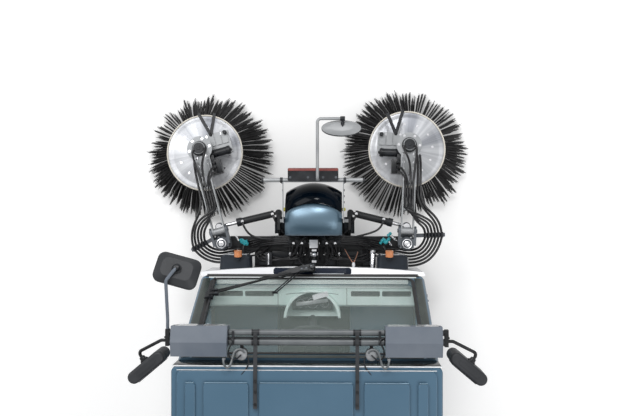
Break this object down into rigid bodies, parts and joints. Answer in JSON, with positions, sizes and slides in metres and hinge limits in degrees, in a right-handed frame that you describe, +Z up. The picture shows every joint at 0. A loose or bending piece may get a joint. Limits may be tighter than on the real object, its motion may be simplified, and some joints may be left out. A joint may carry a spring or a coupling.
{
  "type": "compact street sweeper",
  "caption": "Compact street sweeper with a forward cab, swinging gutter brushes on arms ahead of it, a suction mouth between the axles and a tipping hopper.",
  "frame": {"origin": "on the ground below the middle of the front axle", "axes": "+Z up, the nose points to -Y, and +X is the left side of the vehicle"},
  "size_m": [2.2141, 4.0435, 2.0993],
  "materials": {
    "black_steel": "satin black",
    "engine_iron": "matt",
    "duct_rubber": "matt",
    "blue_grey_paint": "semi-gloss blue-grey",
    "tinted_glass": "green-tinted safety glass",
    "white_paint": "gloss near-white",
    "navy_gloss": "high gloss",
    "dash_plastic": "grained",
    "dark_plastic": "grained",
    "seat_fabric": "woven",
    "lamp_plastic": "satin grey",
    "clear_lens": "clear",
    "amber_lens": "translucent",
    "black_gloss": "high gloss",
    "grey_steel": "grey enamel",
    "hopper_steel": "gloss light grey",
    "bright_rod": "hard chrome",
    "tank_plastic": "satin",
    "brush_bristle": "dull bristle",
    "tyre": "matt",
    "rim_paint": "silver enamel"
  },
  "bodies": {
    "chassis": {"cab_frame": "blue_grey_paint", "cab_glass": "tinted_glass", "cab_roof": "blue_grey_paint", "chassis_frame": "black_steel", "cowl": "blue_grey_paint", "cowl_visor": "black_gloss", "dashboard": "dash_plastic", "driver_seat": "seat_fabric", "engine_block": "engine_iron", "front_axle": "black_steel", "front_carrier": "black_steel", "front_lenses": "clear_lens", "guard_bar": "grey_steel", "headlamp_pods": "dark_plastic", "kerb_rod": "blue_grey_paint", "lamp_board": "dark_plastic", "leaf_springs": "black_steel", "light_bar": "dark_plastic", "mirror_arms": "black_steel", "mirror_heads": "dark_plastic", "nose_cover": "navy_gloss", "nose_panel": "white_paint", "rear_axle": "black_steel", "rear_fenders": "dark_plastic", "side_tanks": "tank_plastic", "signal_lamps": "amber_lens", "steering_wheel": "dark_plastic", "suction_duct": "duct_rubber", "suction_mouth": "black_steel", "wiper": "black_steel", "work_lamps": "lamp_plastic"},
    "knuckle_left": {"knuckle_left": "black_steel"},
    "front_wheel_left": {"tyre_front_left": "tyre", "rim_front_left": "rim_paint"},
    "rear_wheel_left": {"tyre_rear_left": "tyre", "rim_rear_left": "rim_paint"},
    "cab_door_left": {"door_left": "blue_grey_paint", "door_glass_left": "tinted_glass"},
    "post_left": {"swing_post_left": "black_steel"},
    "arm_left": {"brush_arm_left": "grey_steel"},
    "gutter_brush_left": {"brush_left": "brush_bristle"},
    "barrel_left": {"swing_barrel_left": "black_steel"},
    "rod_left": {"swing_rod_left": "bright_rod"},
    "knuckle_right": {"knuckle_right": "black_steel"},
    "front_wheel_right": {"tyre_front_right": "tyre", "rim_front_right": "rim_paint"},
    "rear_wheel_right": {"tyre_rear_right": "tyre", "rim_rear_right": "rim_paint"},
    "cab_door_right": {"door_right": "blue_grey_paint", "door_glass_right": "tinted_glass"},
    "post_right": {"swing_post_right": "black_steel"},
    "arm_right": {"brush_arm_right": "grey_steel"},
    "gutter_brush_right": {"brush_right": "brush_bristle"},
    "barrel_right": {"swing_barrel_right": "black_steel"},
    "rod_right": {"swing_rod_right": "bright_rod"},
    "track_rod": {"tie_rod": "black_steel"},
    "hopper_body": {"hopper": "hopper_steel"},
    "tail_door": {"hopper_door": "hopper_steel"},
    "ram_tubes": {"ram_barrels": "black_steel"},
    "ram_pistons": {"ram_rods": "bright_rod"}
  },
  "joints": [
    {"name": "steer_left", "type": "hinge", "parent": "chassis", "child": "knuckle_left", "pos_m": [0.385, 0, 0.3], "axis": [0, 0, 1], "range_deg": [-28, 28]},
    {"name": "steer_right", "type": "hinge", "parent": "chassis", "child": "knuckle_right", "pos_m": [-0.385, 0, 0.3], "axis": [0, 0, 1], "range_deg": [-28, 28]},
    {"name": "tie_rod_slide", "type": "slide", "parent": "chassis", "child": "track_rod", "axis": [-1, 0, 0], "range_m": [-0.06, 0.06]},
    {"name": "front_wheel_spin_left", "type": "hinge", "parent": "knuckle_left", "child": "front_wheel_left", "pos_m": [0.515, 0, 0.3], "axis": [1, 0, 0], "continuous": true},
    {"name": "rear_wheel_spin_left", "type": "hinge", "parent": "chassis", "child": "rear_wheel_left", "pos_m": [0.515, 1.75, 0.3], "axis": [1, 0, 0], "continuous": true},
    {"name": "front_wheel_spin_right", "type": "hinge", "parent": "knuckle_right", "child": "front_wheel_right", "pos_m": [-0.515, 0, 0.3], "axis": [1, 0, 0], "continuous": true},
    {"name": "rear_wheel_spin_right", "type": "hinge", "parent": "chassis", "child": "rear_wheel_right", "pos_m": [-0.515, 1.75, 0.3], "axis": [1, 0, 0], "continuous": true},
    {"name": "swing_left", "type": "hinge", "parent": "chassis", "child": "post_left", "pos_m": [0.573, -0.545, 0.47], "axis": [0, 0, 1], "range_deg": [-15.2, 39.8]},
    {"name": "lift_left", "type": "hinge", "parent": "post_left", "child": "arm_left", "pos_m": [0.59345, -0.62027, 0.625], "axis": [-0.965, -0.2622, 0], "range_deg": [0, 18]},
    {"name": "brush_spin_left", "type": "hinge", "parent": "arm_left", "child": "gutter_brush_left", "pos_m": [0.73162, -1.12884, 0.275], "axis": [0.0183, -0.0673, 0.9976], "continuous": true},
    {"name": "barrel_pivot_left", "type": "hinge", "parent": "chassis", "child": "barrel_left", "pos_m": [0.225, -0.736, 0.56], "axis": [0, 0, 1], "range_deg": [-6, 6]},
    {"name": "rod_slide_left", "type": "slide", "parent": "barrel_left", "child": "rod_left", "axis": [0.9727, 0.2323, 0], "range_m": [-0.0297, 0.0712]},
    {"name": "swing_right", "type": "hinge", "parent": "chassis", "child": "post_right", "pos_m": [-0.573, -0.545, 0.47], "axis": [0, 0, -1], "range_deg": [-2.4, 52.6]},
    {"name": "lift_right", "type": "hinge", "parent": "post_right", "child": "arm_right", "pos_m": [-0.57627, -0.62293, 0.625], "axis": [-0.9991, 0.0419, 0], "range_deg": [0, 18]},
    {"name": "brush_spin_right", "type": "hinge", "parent": "arm_right", "child": "gutter_brush_right", "pos_m": [-0.59833, -1.14947, 0.275], "axis": [-0.0029, -0.0697, 0.9976], "continuous": true},
    {"name": "barrel_pivot_right", "type": "hinge", "parent": "chassis", "child": "barrel_right", "pos_m": [-0.225, -0.736, 0.56], "axis": [0, 0, -1], "range_deg": [-6, 6]},
    {"name": "rod_slide_right", "type": "slide", "parent": "barrel_right", "child": "rod_right", "axis": [-0.9714, 0.2373, 0], "range_m": [-0.0081, 0.0945]},
    {"name": "door_hinge_left", "type": "hinge", "parent": "chassis", "child": "cab_door_left", "pos_m": [0.658, -0.237, 1], "axis": [0, 0, -1], "range_deg": [0, 70]},
    {"name": "door_hinge_right", "type": "hinge", "parent": "chassis", "child": "cab_door_right", "pos_m": [-0.658, -0.237, 1], "axis": [0, 0, 1], "range_deg": [0, 70]},
    {"name": "hopper_tip", "type": "hinge", "parent": "chassis", "child": "hopper_body", "pos_m": [0, 2.33, 0.775], "axis": [-1, 0, 0], "range_deg": [0, 50]},
    {"name": "tail_door_hinge", "type": "hinge", "parent": "hopper_body", "child": "tail_door", "pos_m": [0, 2.414, 1.75], "axis": [1, 0, 0], "range_deg": [0, 80]},
    {"name": "ram_foot_pivot", "type": "hinge", "parent": "chassis", "child": "ram_tubes", "pos_m": [0, 1.65, 0.435], "axis": [1, 0, 0], "range_deg": [-2, 9]},
    {"name": "ram_slide", "type": "slide", "parent": "ram_tubes", "child": "ram_pistons", "axis": [0, 0.686, 0.7276], "range_m": [-0.002, 0.2922]}
  ],
  "couplings": [
    {"joint": "steer_right", "follows": "steer_left", "ratio": 1},
    {"joint": "tie_rod_slide", "follows": "steer_left", "m_per_rad": 0.1153},
    {"joint": "barrel_pivot_left", "follows": "swing_left", "ratio": 0.05},
    {"joint": "rod_slide_left", "follows": "swing_left", "m_per_rad": 0.0967},
    {"joint": "barrel_pivot_right", "follows": "swing_right", "ratio": 0.05},
    {"joint": "rod_slide_right", "follows": "swing_right", "m_per_rad": 0.0986},
    {"joint": "ram_foot_pivot", "follows": "hopper_tip", "ratio": 0.1268},
    {"joint": "ram_slide", "follows": "hopper_tip", "m_per_rad": 0.3303}
  ]
}
